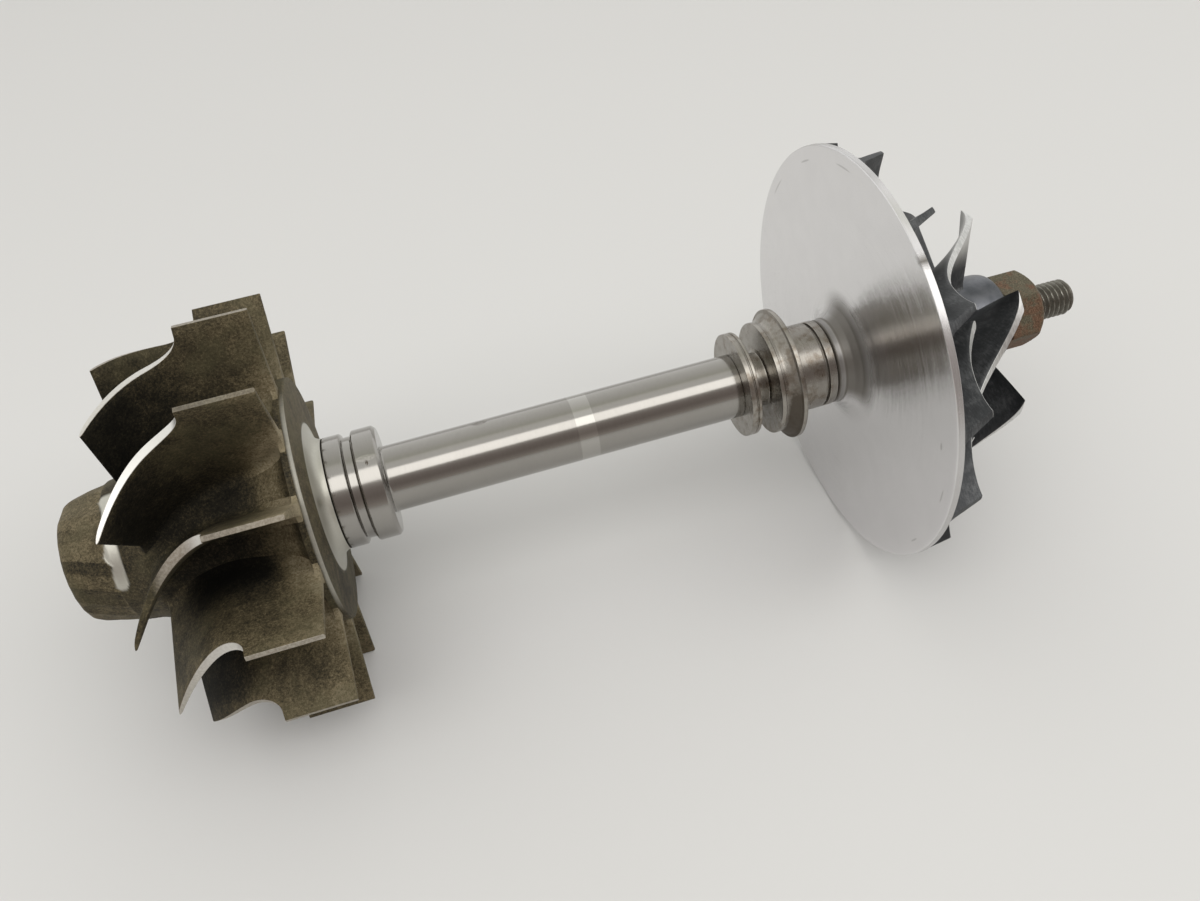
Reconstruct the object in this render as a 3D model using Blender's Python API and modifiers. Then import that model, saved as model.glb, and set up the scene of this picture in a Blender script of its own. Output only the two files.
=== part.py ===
"""Turbocharger rotor: a turbine wheel and a compressor wheel on one shaft, lying on its side.

The rotor is drawn along its own axis, in millimetres, with x = 0 on the collar face where the
17 mm journal begins, the turbine on the -x side and the compressor on the +x side.  An angle of
0 on the rotor points to -Y and 90 degrees to +Z before the rotor is laid down.  The empty named
rotor_axis then lays it on the floor: two turbine blade tips and the compressor rim touch z = 0.
"""
import math

import bmesh
import bpy
import numpy as np
from mathutils import Matrix

MM = 0.001
GAP = 0.3

# Shaft and collar
JOURNAL_R = 8.5
STUB_R = 5.0
BORE_R = STUB_R + GAP
COLLAR_R = 14.35
COLLAR_GROOVE_R = 12.7
WELD_X = -13.3
GROOVE_X = (-8.5, -6.2)
JOURNAL_END_X = 93.2
THREAD_END_X = 193.6
THREAD_FACE_R = 3.9

# Turbine wheel
TURBINE_BLADES = 12
TURBINE_TIP_R = 52.9
TURBINE_EXIT_R = 45.9
TURBINE_INLET_X = (-34.7, -18.1)
TURBINE_EXIT_X = -55.9
TURBINE_DISC_R = 31.2
TURBINE_DISC_X = (-19.6, -17.0)
TURBINE_FACE_X = -16.4
TURBINE_FACE_R = 19.0
TURBINE_HUB_EXIT_R = 19.7
TURBINE_BLADE_ANGLE = 28.1
TURBINE_WRAP = 24.4
TURBINE_ROOT_T = 3.0
TURBINE_INLET_T = 1.3
TURBINE_SHROUD_T = 2.1
TURBINE_EXIT_T = 0.9
NOSE_X = -75.8
NOSE_R = 15.3
NOSE_FACE_R = 13.0

# Thrust collar and oil flinger
THRUST_X = (93.5, 96.1)
THRUST_R = 14.0
THRUST_NECK_R = 7.3
THRUST_BACK_X = (101.2, 102.3)
THRUST_BACK_R = 15.15
FLINGER_LIP_X = (105.9, 107.1)
FLINGER_R = 17.7
SLEEVE_R = 11.65
SLEEVE_END_X = 118.8
SEAL_GROOVE_X = (115.5, 116.3)
SEAL_GROOVE_R = 10.6

# Compressor wheel
MAIN_BLADES = 7
COMPRESSOR_R = 56.35
COMPRESSOR_RIM_X = (125.3, 127.1)
COMPRESSOR_BOSS_R = 11.45
COMPRESSOR_NOSE_X = 169.5
COMPRESSOR_HUB_R = 12.35
INDUCER_X = 159.5
INDUCER_R = 33.2
EXDUCER_X = 134.8
EXDUCER_R = 55.15
INDUCER_ANGLE = 3.1
COMPRESSOR_WRAP = 51.6
WRAP_POWER = 1.25
EDGE_RISE = 1.58
EDGE_ADVANCE = 1.45
EXIT_RAKE = 4.0
SPLITTER_START = 0.50
COMPRESSOR_ROOT_T = 2.4
COMPRESSOR_EDGE_T = 1.6

# Lock nut, an M10 hexagon
NUT_X = (169.8, 180.9)
NUT_FLATS = 19.0
NUT_CORNER_ANGLE = 14.6
NUT_FACE_R = 8.7
NUT_CHAMFER = 2.2

# How it lies: this rotor angle points straight down, half way between two turbine blades
DOWN_ANGLE = TURBINE_BLADE_ANGLE + 195.0
ROUND_STEPS = 48
RIM_STEPS = 64


def clear_scene():
    for item in list(bpy.data.objects):
        bpy.data.objects.remove(item, do_unlink=True)


def material(name, colour, roughness, metallic):
    made = bpy.data.materials.new(name)
    made.use_nodes = True
    shader = made.node_tree.nodes["Principled BSDF"]
    shader.inputs["Base Color"].default_value = (*colour, 1.0)
    shader.inputs["Roughness"].default_value = roughness
    shader.inputs["Metallic"].default_value = metallic
    return made


def add_object(name, mesh, finish, collection, parent):
    item = bpy.data.objects.new(name, mesh)
    item.data.materials.append(finish)
    item.parent = parent
    collection.objects.link(item)
    return item


def turned(name, outline, steps, finish, collection, parent):
    """A lathe-turned piece: (x, radius) points from the +x end to the -x end, outer side first.

    The profile is drawn in the XZ plane with the rotor's x as Z, and the Screw modifier turns it.
    A ring repeats its first point at the end, and a solid piece starts and ends on the axis.
    """
    ring = outline[0] == outline[-1]
    points = outline[:-1] if ring else outline
    verts = [(radius * MM, 0.0, x * MM) for x, radius in points]
    count = len(points)
    edges = [(i, (i + 1) % count) for i in range(count if ring else count - 1)]
    mesh = bpy.data.meshes.new(name)
    mesh.from_pydata(verts, edges, [])
    item = add_object(name, mesh, finish, collection, parent)
    item.rotation_euler = (0.0, math.radians(90.0), 0.0)
    screw = item.modifiers.new("turn", "SCREW")
    screw.steps = steps
    screw.render_steps = steps
    screw.use_merge_vertices = True
    screw.merge_threshold = 0.00001
    screw.use_smooth_shade = True
    return item


def polar(x, radius, angle):
    """Points at rotor station x, radius and angle in degrees, in metres."""
    turn = np.radians(angle)
    return np.stack([x, -radius * np.cos(turn), radius * np.sin(turn)], axis=-1) * MM


def blade_mesh(name, x, radius, angle, half_turn):
    """Closed blade from a grid of stations: each point has a skin half a thickness to each side.

    Rows run along the chord and columns from root to edge.  half_turn is the half thickness as an
    angle in degrees, so both skins keep their station and radius and the root follows the hub.
    """
    upper = polar(x, radius, angle + half_turn)
    lower = polar(x, radius, angle - half_turn)
    rows, columns = x.shape
    verts = np.concatenate([upper.reshape(-1, 3), lower.reshape(-1, 3)])
    top = np.arange(rows * columns).reshape(rows, columns)
    low = top + rows * columns
    faces = []
    for i in range(rows - 1):
        for j in range(columns - 1):
            faces.append((top[i, j], top[i, j + 1], top[i + 1, j + 1], top[i + 1, j]))
            faces.append((low[i, j], low[i + 1, j], low[i + 1, j + 1], low[i, j + 1]))
    border = [(i, 0) for i in range(rows)]
    border += [(rows - 1, j) for j in range(1, columns)]
    border += [(i, columns - 1) for i in range(rows - 2, -1, -1)]
    border += [(0, j) for j in range(columns - 2, 0, -1)]
    for k, here in enumerate(border):
        after = border[(k + 1) % len(border)]
        faces.append((top[here], top[after], low[after], low[here]))
    mesh = bpy.data.meshes.new(name)
    mesh.from_pydata(verts.tolist(), [], [tuple(int(v) for v in face) for face in faces])
    shaped = bmesh.new()
    shaped.from_mesh(mesh)
    bmesh.ops.recalc_face_normals(shaped, faces=shaped.faces)
    shaped.to_mesh(mesh)
    shaped.free()
    mesh.shade_smooth()
    mesh.set_sharp_from_angle(angle=math.radians(35.0))
    return mesh


def turbine_hub_curve(stations):
    """Hub radius at each station from the exit to the disc, a quarter of an ellipse."""
    reach = TURBINE_DISC_X[0] - TURBINE_EXIT_X
    lean = np.arcsin(np.clip((stations - TURBINE_EXIT_X) / reach, 0.0, 1.0))
    rise = TURBINE_DISC_R - TURBINE_HUB_EXIT_R
    return TURBINE_HUB_EXIT_R + rise * (1.0 - np.cos(lean))


def turbine_edge_curve():
    """Blade edge from the exit tip, through the round notch, to the back corner of the inlet."""
    notch_x, notch_drop = 8.0, 5.3
    start = TURBINE_INLET_X[0] - 0.2
    sweep = np.radians([90.0, 67.5, 45.0, 22.5, 0.0])
    notch = np.stack([start - notch_x * (1.0 - np.cos(sweep)),
                      TURBINE_EXIT_R + notch_drop * (1.0 - np.sin(sweep))], axis=-1)
    plain = np.linspace(TURBINE_EXIT_X, start - notch_x, 5)[:-1]
    exit_edge = np.stack([plain, np.full_like(plain, TURBINE_EXIT_R)], axis=-1)
    inlet_x = np.linspace(TURBINE_INLET_X[0], TURBINE_INLET_X[1], 4)
    inlet = np.stack([inlet_x, np.full_like(inlet_x, TURBINE_TIP_R)], axis=-1)
    return np.concatenate([exit_edge, notch, inlet])


def turbine_root_stations():
    """Root station under each edge point; the last one lies under the back edge of the blade."""
    edge_x = turbine_edge_curve()[:, 0]
    share = (edge_x - edge_x[0]) / (edge_x[-1] - edge_x[0])
    root = TURBINE_EXIT_X + share * (TURBINE_DISC_X[0] - TURBINE_EXIT_X)
    return np.append(root[:-1], [TURBINE_DISC_X[0], TURBINE_INLET_X[1]])


def turbine_angle(x):
    """Blade angle in degrees: straight at the inlet, then a parabola that wraps to the exit."""
    share = np.clip((TURBINE_INLET_X[0] - x) / (TURBINE_INLET_X[0] - TURBINE_EXIT_X), 0.0, None)
    return TURBINE_BLADE_ANGLE - TURBINE_WRAP * share ** 2


def turbine_edge_thickness(x):
    """Thickness at the blade edge: thin at the inlet and the exit, thickest a quarter of the way."""
    share = np.clip((TURBINE_INLET_X[0] - x) / (TURBINE_INLET_X[0] - TURBINE_EXIT_X), 0.0, 1.0)
    ends = TURBINE_INLET_T * (1.0 - share) + TURBINE_EXIT_T * share
    swell = TURBINE_SHROUD_T - 0.5 * (TURBINE_INLET_T + TURBINE_EXIT_T)
    early = np.sqrt(share)
    return ends + 4.0 * swell * early * (1.0 - early)


def turbine_blade(number, finish, collection, parent):
    edge = turbine_edge_curve()
    edge = np.concatenate([edge, edge[-1:] + np.array([[0.01, 0.0]])])
    root_x = turbine_root_stations()
    root_r = turbine_hub_curve(root_x) + GAP
    rows = np.linspace(0.0, 1.0, 5)
    x = root_x[:, None] * (1.0 - rows) + edge[:, :1] * rows
    radius = root_r[:, None] * (1.0 - rows) + edge[:, 1:] * rows
    share = np.clip((TURBINE_INLET_X[0] - x) / (TURBINE_INLET_X[0] - TURBINE_EXIT_X), 0.0, None)
    slope = 2.0 * np.radians(TURBINE_WRAP) * share / (TURBINE_INLET_X[0] - TURBINE_EXIT_X)
    slant = np.sqrt(1.0 + (slope * radius) ** 2)
    edge_thickness = turbine_edge_thickness(edge[:, 0])[:, None]
    thickness = TURBINE_ROOT_T * (1.0 - rows) + edge_thickness * rows
    half_turn = np.degrees(0.5 * thickness * slant / radius)
    name = f"turbine_blade_{number + 1:02d}"
    angle = turbine_angle(x) + 360.0 / TURBINE_BLADES * number
    mesh = blade_mesh(name, x, radius, angle, half_turn)
    return add_object(name, mesh, finish, collection, parent)


def turbine_hub(finish, collection, parent):
    """Cast hub: nose boss, flared hub, small disc, and the fillet down to the weld."""
    sweep = [math.radians(30.0 * step) for step in range(4)]
    fillet = [(WELD_X + (TURBINE_FACE_X - WELD_X) * math.sin(turn),
               TURBINE_FACE_R - (TURBINE_FACE_R - COLLAR_R) * math.cos(turn)) for turn in sweep]
    back = [(WELD_X, 0.0), *fillet, (TURBINE_DISC_X[1], TURBINE_DISC_R)]
    stations = turbine_root_stations()[:-1][::-1]
    flare = list(zip(stations.tolist(), turbine_hub_curve(stations).tolist()))
    nose = [(-60.2, 18.2), (-64.4, 17.6), (-68.2, 16.8), (NOSE_X + 2.0, NOSE_R),
            (NOSE_X + 0.7, NOSE_R - 0.8), (NOSE_X, NOSE_FACE_R), (NOSE_X, 0.0)]
    return turned("turbine_hub", back + flare + nose, ROUND_STEPS, finish, collection, parent)


def shaft(finish, collection, parent):
    """Welded shaft: collar with a ring groove, 17 mm journal, 10 mm stub and its threaded end."""
    outline = [(THREAD_END_X, 0.0), (THREAD_END_X, THREAD_FACE_R), (THREAD_END_X - 1.2, STUB_R),
               (JOURNAL_END_X, STUB_R), (JOURNAL_END_X, JOURNAL_R - 0.4),
               (JOURNAL_END_X - 0.4, JOURNAL_R), (0.0, JOURNAL_R), (0.0, COLLAR_R - 0.8),
               (-0.8, COLLAR_R), (GROOVE_X[1], COLLAR_R), (GROOVE_X[1], COLLAR_GROOVE_R),
               (GROOVE_X[0], COLLAR_GROOVE_R), (GROOVE_X[0], COLLAR_R),
               (WELD_X + GAP, COLLAR_R), (WELD_X + GAP, 0.0)]
    return turned("shaft", outline, ROUND_STEPS, finish, collection, parent)


def thrust_collar(finish, collection, parent):
    left, right = THRUST_X
    back_left, back_right = THRUST_BACK_X
    outline = [(back_right, BORE_R), (back_right, THRUST_BACK_R), (back_left + 0.3, THRUST_BACK_R),
               (back_left, THRUST_BACK_R - 0.3), (back_left, THRUST_NECK_R),
               (right, THRUST_NECK_R), (right, THRUST_R - 0.2), (right - 0.2, THRUST_R),
               (left + 0.2, THRUST_R), (left, THRUST_R - 0.2), (left, BORE_R),
               (back_right, BORE_R)]
    return turned("thrust_collar", outline, ROUND_STEPS, finish, collection, parent)


def flinger_sleeve(finish, collection, parent):
    """Oil flinger and seal sleeve in one piece: a flared lip, a plain sleeve and a ring groove."""
    start = THRUST_BACK_X[1] + GAP
    lip_left, lip_right = FLINGER_LIP_X
    outline = [(SLEEVE_END_X, BORE_R), (SLEEVE_END_X, SLEEVE_R), (SEAL_GROOVE_X[1], SLEEVE_R),
               (SEAL_GROOVE_X[1], SEAL_GROOVE_R), (SEAL_GROOVE_X[0], SEAL_GROOVE_R),
               (SEAL_GROOVE_X[0], SLEEVE_R), (lip_right + 0.4, SLEEVE_R + 0.2),
               (lip_right, FLINGER_R - 0.3), (lip_right - 0.3, FLINGER_R),
               (lip_left + 0.3, FLINGER_R), (lip_left, FLINGER_R - 0.4),
               (lip_left - 1.2, FLINGER_R - 1.5), (start + 0.6, THRUST_BACK_R),
               (start, THRUST_BACK_R), (start, BORE_R), (SLEEVE_END_X, BORE_R)]
    return turned("flinger_sleeve", outline, ROUND_STEPS, finish, collection, parent)


def meridian(start, end, share, rise=1.0, advance=1.0):
    """A meridian from axial flow to radial flow: a quarter ellipse between two (x, radius) points.

    Powers over 1 on its rise and its advance sharpen the bend.
    """
    lean = 0.5 * np.pi * share
    x = start[0] + (end[0] - start[0]) * np.sin(lean) ** advance
    radius = start[1] + (end[1] - start[1]) * (1.0 - np.cos(lean)) ** rise
    return x, radius


def compressor_hub_curve(share):
    return meridian((INDUCER_X, COMPRESSOR_HUB_R + 0.4), (COMPRESSOR_RIM_X[1], COMPRESSOR_R), share)


def compressor_shares():
    """Shares of the way from inducer to rim at which hub and blades are both drawn."""
    return np.linspace(0.0, 1.0, 11)


def compressor_blade(name, number, first_row, finish, collection, parent):
    """Main or splitter blade: a ruled surface between a line just off the hub and the edge."""
    share = compressor_shares()[first_row:]
    hub_x, hub_r = compressor_hub_curve(share)
    ahead_x, ahead_r = compressor_hub_curve(np.clip(share + 0.01, 0.0, 1.01))
    length = np.hypot(ahead_x - hub_x, ahead_r - hub_r)
    root_x = hub_x + GAP * (ahead_r - hub_r) / length
    root_r = hub_r - GAP * (ahead_x - hub_x) / length
    root_r = np.minimum(root_r, COMPRESSOR_R)
    edge_x, edge_r = meridian((INDUCER_X, INDUCER_R), (EXDUCER_X, EXDUCER_R), share,
                              EDGE_RISE, EDGE_ADVANCE)
    rows = np.linspace(0.0, 1.0, 4)
    x = root_x[:, None] * (1.0 - rows) + edge_x[:, None] * rows
    radius = root_r[:, None] * (1.0 - rows) + edge_r[:, None] * rows
    wrap = COMPRESSOR_WRAP * (1.0 - (1.0 - share) ** WRAP_POWER)
    rake = EXIT_RAKE * share ** 2
    pitch = 360.0 / MAIN_BLADES
    angle = INDUCER_ANGLE + pitch * number - wrap[:, None] - rake[:, None] * (1.0 - rows)
    thickness = COMPRESSOR_ROOT_T * (1.0 - rows) + COMPRESSOR_EDGE_T * rows
    turn_rate = np.gradient(np.radians(wrap), share)
    path = np.hypot(np.gradient(edge_x, share), np.gradient(edge_r, share))
    slant = np.sqrt(1.0 + (turn_rate / path)[:, None] ** 2 * radius ** 2)
    half_turn = np.degrees(0.5 * thickness * slant / radius)
    mesh = blade_mesh(name, x, radius, angle, half_turn)
    return add_object(name, mesh, finish, collection, parent)


def compressor_hub(finish, collection, parent):
    """Wheel body: nose, flared hub, thin rim, flat back and the short boss behind it."""
    boss_start = SLEEVE_END_X + GAP
    nose = [(COMPRESSOR_NOSE_X, BORE_R), (COMPRESSOR_NOSE_X, COMPRESSOR_HUB_R - 1.4),
            (COMPRESSOR_NOSE_X - 0.9, COMPRESSOR_HUB_R - 0.4),
            (COMPRESSOR_NOSE_X - 2.4, COMPRESSOR_HUB_R)]
    flare_x, flare_r = compressor_hub_curve(compressor_shares())
    flare = list(zip(flare_x.tolist(), flare_r.tolist()))
    rim_back = COMPRESSOR_RIM_X[0]
    boss = [(rim_back, COMPRESSOR_R), (rim_back - 0.1, 19.0), (rim_back - 0.5, 16.6),
            (rim_back - 1.3, 14.6), (rim_back - 2.7, 12.8), (rim_back - 4.2, 11.8),
            (boss_start + 1.3, COMPRESSOR_BOSS_R), (boss_start, COMPRESSOR_BOSS_R),
            (boss_start, BORE_R), (COMPRESSOR_NOSE_X, BORE_R)]
    return turned("compressor_hub", nose + flare + boss, RIM_STEPS, finish, collection, parent)


def lock_nut(finish, collection, cutters, parent):
    """Hexagon nut: a six-sided prism cut by a chamfered turned form and bored through."""
    left, right = NUT_X
    corner_r = 0.5 * NUT_FLATS / math.cos(math.radians(30.0))
    prism = bmesh.new()
    bmesh.ops.create_cone(prism, cap_ends=True, segments=6, radius1=corner_r * MM,
                          radius2=corner_r * MM, depth=(right - left) * MM)
    along = Matrix.Rotation(math.radians(90.0), 4, "Y")
    spin = Matrix.Rotation(math.radians(NUT_CORNER_ANGLE), 4, "X")
    place = Matrix.Translation((0.5 * (left + right) * MM, 0.0, 0.0))
    bmesh.ops.transform(prism, matrix=place @ spin @ along, verts=prism.verts)
    mesh = bpy.data.meshes.new("lock_nut")
    prism.to_mesh(mesh)
    prism.free()
    nut = add_object("lock_nut", mesh, finish, collection, parent)
    outside_r = corner_r + 0.05
    form = [(right, BORE_R), (right, NUT_FACE_R), (right - NUT_CHAMFER, outside_r),
            (left + 0.5 * NUT_CHAMFER, outside_r), (left, NUT_FACE_R), (left, BORE_R),
            (right, BORE_R)]
    cutter = turned("nut_form", form, 48, finish, cutters, parent)
    cutter.hide_render = True
    cutter.display_type = "WIRE"
    shape = nut.modifiers.new("chamfer_and_bore", "BOOLEAN")
    shape.operation = "INTERSECT"
    shape.object = cutter
    return nut


def lay_down(axis):
    """Turn and tilt the rotor so that two blade tips and the compressor rim stand on z = 0."""
    lean = math.radians(180.0 / TURBINE_BLADES) - 0.5 * TURBINE_INLET_T / TURBINE_TIP_R
    tip_depth = TURBINE_TIP_R * math.cos(lean)
    off_corner = math.remainder(DOWN_ANGLE - 270.0, 360.0 / RIM_STEPS)
    rim_depth = COMPRESSOR_R * math.cos(math.radians(off_corner))
    tilt = math.atan2(rim_depth - tip_depth, COMPRESSOR_RIM_X[0] - TURBINE_INLET_X[0])
    turn = Matrix.Rotation(-tilt, 4, "Y") @ Matrix.Rotation(math.radians(DOWN_ANGLE - 270.0), 4, "X")
    low = TURBINE_INLET_X[0] * math.sin(tilt) - tip_depth * math.cos(tilt)
    nose_end = NOSE_X * math.cos(tilt) - NOSE_FACE_R * math.sin(tilt)
    thread_end = THREAD_END_X * math.cos(tilt) + THREAD_FACE_R * math.sin(tilt)
    middle = 0.5 * (nose_end + thread_end)
    axis.matrix_world = Matrix.Translation((-middle * MM, 0.0, -low * MM)) @ turn


def build():
    clear_scene()
    collection = bpy.data.collections.new("turbocharger_rotor")
    cutters = bpy.data.collections.new("cutters")
    bpy.context.scene.collection.children.link(collection)
    bpy.context.scene.collection.children.link(cutters)
    axis = bpy.data.objects.new("rotor_axis", None)
    collection.objects.link(axis)
    lay_down(axis)

    cast = material("turbine_casting", (0.085, 0.070, 0.050), 0.6, 0.8)
    ground = material("ground_steel", (0.50, 0.48, 0.46), 0.25, 1.0)
    hardened = material("collar_steel", (0.40, 0.38, 0.34), 0.35, 1.0)
    milled = material("milled_aluminium", (0.66, 0.66, 0.66), 0.35, 1.0)
    bladed = material("blade_aluminium", (0.30, 0.31, 0.32), 0.4, 1.0)
    rusty = material("rusty_steel", (0.20, 0.12, 0.06), 0.7, 0.5)

    shaft(ground, collection, axis)
    turbine_hub(cast, collection, axis)
    for number in range(TURBINE_BLADES):
        turbine_blade(number, cast, collection, axis)
    thrust_collar(hardened, collection, axis)
    flinger_sleeve(hardened, collection, axis)
    compressor_hub(milled, collection, axis)
    splitter_row = int(round(SPLITTER_START * (len(compressor_shares()) - 1)))
    for number in range(MAIN_BLADES):
        main_name = f"compressor_blade_{number + 1}"
        compressor_blade(main_name, number, 0, bladed, collection, axis)
        splitter_name = f"splitter_blade_{number + 1}"
        compressor_blade(splitter_name, number + 0.5, splitter_row, bladed, collection, axis)
    lock_nut(rusty, collection, cutters, axis)


build()
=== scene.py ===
import math

import bmesh
import bpy
import numpy as np
from mathutils import Matrix


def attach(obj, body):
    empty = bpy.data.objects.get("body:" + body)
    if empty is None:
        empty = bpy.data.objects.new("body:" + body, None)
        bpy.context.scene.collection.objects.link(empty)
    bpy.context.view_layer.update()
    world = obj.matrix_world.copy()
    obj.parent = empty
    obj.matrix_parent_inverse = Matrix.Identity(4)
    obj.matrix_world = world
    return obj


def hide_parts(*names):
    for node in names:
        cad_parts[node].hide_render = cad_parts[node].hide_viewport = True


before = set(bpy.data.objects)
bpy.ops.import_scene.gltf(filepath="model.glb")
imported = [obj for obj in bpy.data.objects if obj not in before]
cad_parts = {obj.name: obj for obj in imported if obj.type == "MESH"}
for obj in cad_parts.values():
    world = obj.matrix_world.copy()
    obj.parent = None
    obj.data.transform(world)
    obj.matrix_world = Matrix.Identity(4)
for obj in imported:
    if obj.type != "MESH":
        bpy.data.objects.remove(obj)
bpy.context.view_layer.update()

# Rotor sizes in millimetres, as in the CAD, but for a shallower ring groove in the welded collar and
# a journal that ends closer to the thrust collar.  x = 0 is the collar face where the journal begins,
# the turbine lies at -x.  An angle of 0 points to the camera's side and 90 degrees upwards.
MM = 0.001
JOURNAL_R = 8.5
STUB_R = 5.0
COLLAR_R = 14.35
COLLAR_GROOVE_R = 13.1
WELD_X = -13.3
GROOVE_X = (-8.5, -6.2)
JOURNAL_END_X = 93.45
THREAD_END_X = 193.6
THREAD_FACE_R = 3.9
THREAD_PITCH = 1.5
THREAD_DEPTH = 0.8
POLISHED_X = (49.0, 53.6)

TURBINE_BLADES = 12
TURBINE_TIP_R = 52.9
TURBINE_EXIT_R = 45.9
TURBINE_INLET_X = (-34.7, -18.1)
TURBINE_EXIT_X = -55.9
TURBINE_DISC_R = 31.2
TURBINE_DISC_X = (-19.6, -17.0)
TURBINE_FACE_X = -16.4
TURBINE_FACE_R = 19.0
TURBINE_HUB_EXIT_R = 19.7
TURBINE_BLADE_ANGLE = 28.1
TURBINE_WRAP = 24.4
TURBINE_ROOT_T = 3.0
TURBINE_INLET_T = 1.3
TURBINE_SHROUD_T = 2.1
TURBINE_EXIT_T = 0.9
TURBINE_FILLET = 2.6
TURBINE_ENDS = (0.9, 0.3)
TURBINE_NOTCH = (8.0, 5.3)
NOSE_X = -75.8
NOSE_R = 15.3
NOSE_FACE_R = 13.0
NOSE_STEP_X = -64.4

THRUST_X = (93.5, 96.1)
THRUST_R = 14.0
THRUST_NECK_R = 7.3
THRUST_BACK_X = (101.2, 102.3)
THRUST_BACK_R = 15.15
FLINGER_LIP_X = (105.9, 107.1)
FLINGER_R = 17.7
SLEEVE_R = 11.65
SLEEVE_END_X = 118.8
SEAL_GROOVE_X = (115.5, 116.3)
SEAL_GROOVE_R = 10.6

MAIN_BLADES = 7
COMPRESSOR_R = 56.35
COMPRESSOR_RIM_X = (125.3, 127.1)
COMPRESSOR_BOSS_R = 11.45
COMPRESSOR_NOSE_X = 169.5
COMPRESSOR_HUB_R = 12.35
INDUCER_X = 159.5
INDUCER_R = 33.2
EXDUCER_X = 134.8
EXDUCER_R = 55.15
INDUCER_ANGLE = 3.1
COMPRESSOR_WRAP = 51.6
WRAP_POWER = 1.25
EDGE_RISE = 1.58
EDGE_ADVANCE = 1.45
EXIT_RAKE = 4.0
SPLITTER_START = 0.50
COMPRESSOR_ROOT_T = 2.4
COMPRESSOR_EDGE_T = 1.6
COMPRESSOR_FILLET = 1.4
COMPRESSOR_ENDS = (1.0, 0.12)

NUT_X = (169.8, 180.9)
NUT_FLATS = 19.0
NUT_CORNER_ANGLE = 14.6
NUT_FACE_R = 8.7
NUT_CHAMFER = 2.2
NUT_CORNER_R = 0.5 * NUT_FLATS / math.cos(math.radians(30.0))
NUT_BORE_R = 6.9

# How the rotor lies: this angle points straight down, between two turbine blades, and the CAD's
# compressor rim has this many facets
DOWN_ANGLE = TURBINE_BLADE_ANGLE + 195.0
RIM_STEPS = 64

# Steps round the axis of the shaft and collars, of the nut and of the wheels
SMALL_STEPS = 160
NUT_STEPS = 240
WHEEL_STEPS = 320

# Blade grids: depth of the broken edge, and heights of the foot's rows as shares of the fillet
EDGE_BEVEL = 0.14
FOOT_ROWS = np.array([0.0, 0.04, 0.12, 0.25, 0.42, 0.65, 1.0])

# The camera, found by fitting the outline: eye in the rotor's millimetres, angles in radians and
# focal length as a share of the picture's width
EYE = (16.96, -257.55, 0.0)
VIEW_YAW, VIEW_PITCH, VIEW_ROLL = 0.14360, -0.02789, -0.26540
FOCAL_SHARE = 992.55 / 1200.0
SENSOR_MM = 36.0

# The lamp, a long window high up on the camera's side, and the floor: metres, watts and colour
LAMP_RISE = math.radians(66.8)
LAMP_PLACE = (0.1, -math.cos(LAMP_RISE), math.sin(LAMP_RISE))
LAMP_TARGET = (0.1, 0.0, 0.05)
LAMP_SIZE = (2.2, 0.49)
LAMP_POWER = 5.4
LAMP_COLOUR = (1.0, 0.985, 0.96)
FLOOR_REACH = 6.0


# Where the rotor lies

def turn_about(axis, angle):
    """Rotation matrix about a named axis, angle in radians."""
    return np.array(Matrix.Rotation(angle, 3, axis))


def lie():
    """Turn and shift in millimetres that set two blade tips and the compressor rim on z = 0."""
    lean = math.radians(180.0 / TURBINE_BLADES) - 0.5 * TURBINE_INLET_T / TURBINE_TIP_R
    tip_depth = TURBINE_TIP_R * math.cos(lean)
    off_corner = math.remainder(DOWN_ANGLE - 270.0, 360.0 / RIM_STEPS)
    rim_depth = COMPRESSOR_R * math.cos(math.radians(off_corner))
    tilt = math.atan2(rim_depth - tip_depth, COMPRESSOR_RIM_X[0] - TURBINE_INLET_X[0])
    turn = turn_about("Y", -tilt) @ turn_about("X", math.radians(DOWN_ANGLE - 270.0))
    low = TURBINE_INLET_X[0] * math.sin(tilt) - tip_depth * math.cos(tilt)
    nose_end = NOSE_X * math.cos(tilt) - NOSE_FACE_R * math.sin(tilt)
    thread_end = THREAD_END_X * math.cos(tilt) + THREAD_FACE_R * math.sin(tilt)
    return turn, np.array([-0.5 * (nose_end + thread_end), 0.0, -low])


TURN, SHIFT = lie()


def polar(x, radius, angle):
    """Rotor millimetres from station x, radius and angle in degrees, whole arrays at once."""
    turn = np.radians(angle)
    return np.stack(np.broadcast_arrays(x, -radius * np.cos(turn), radius * np.sin(turn)), axis=-1)


def smooth(low, high, value):
    """0 below low, 1 above high, and a soft S-shaped step between them."""
    share = np.clip((value - low) / (high - low), 0.0, 1.0)
    return share * share * (3.0 - 2.0 * share)


def wrapped(angle):
    """Angle in degrees brought to -180 .. 180."""
    return (angle + 180.0) % 360.0 - 180.0


# Meshes

def run_along(path):
    """Length along a path of points, from its first point to each."""
    return np.concatenate([[0.0], np.cumsum(np.linalg.norm(np.diff(path, axis=0), axis=1))])


def at_run(every, run, path):
    """Points of an (x, radius) path at given lengths along it."""
    return np.stack([np.interp(every, run, path[:, 0]), np.interp(every, run, path[:, 1])], axis=-1)


def grid_faces(rows, columns):
    """Quads of a rows x columns grid whose last column joins the first."""
    index = np.arange(rows * columns).reshape(rows, columns)
    index = np.concatenate([index, index[:, :1]], axis=1)
    corners = [index[:-1, :-1], index[:-1, 1:], index[1:, 1:], index[1:, :-1]]
    return np.stack(corners, axis=-1).reshape(-1, 4)


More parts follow.
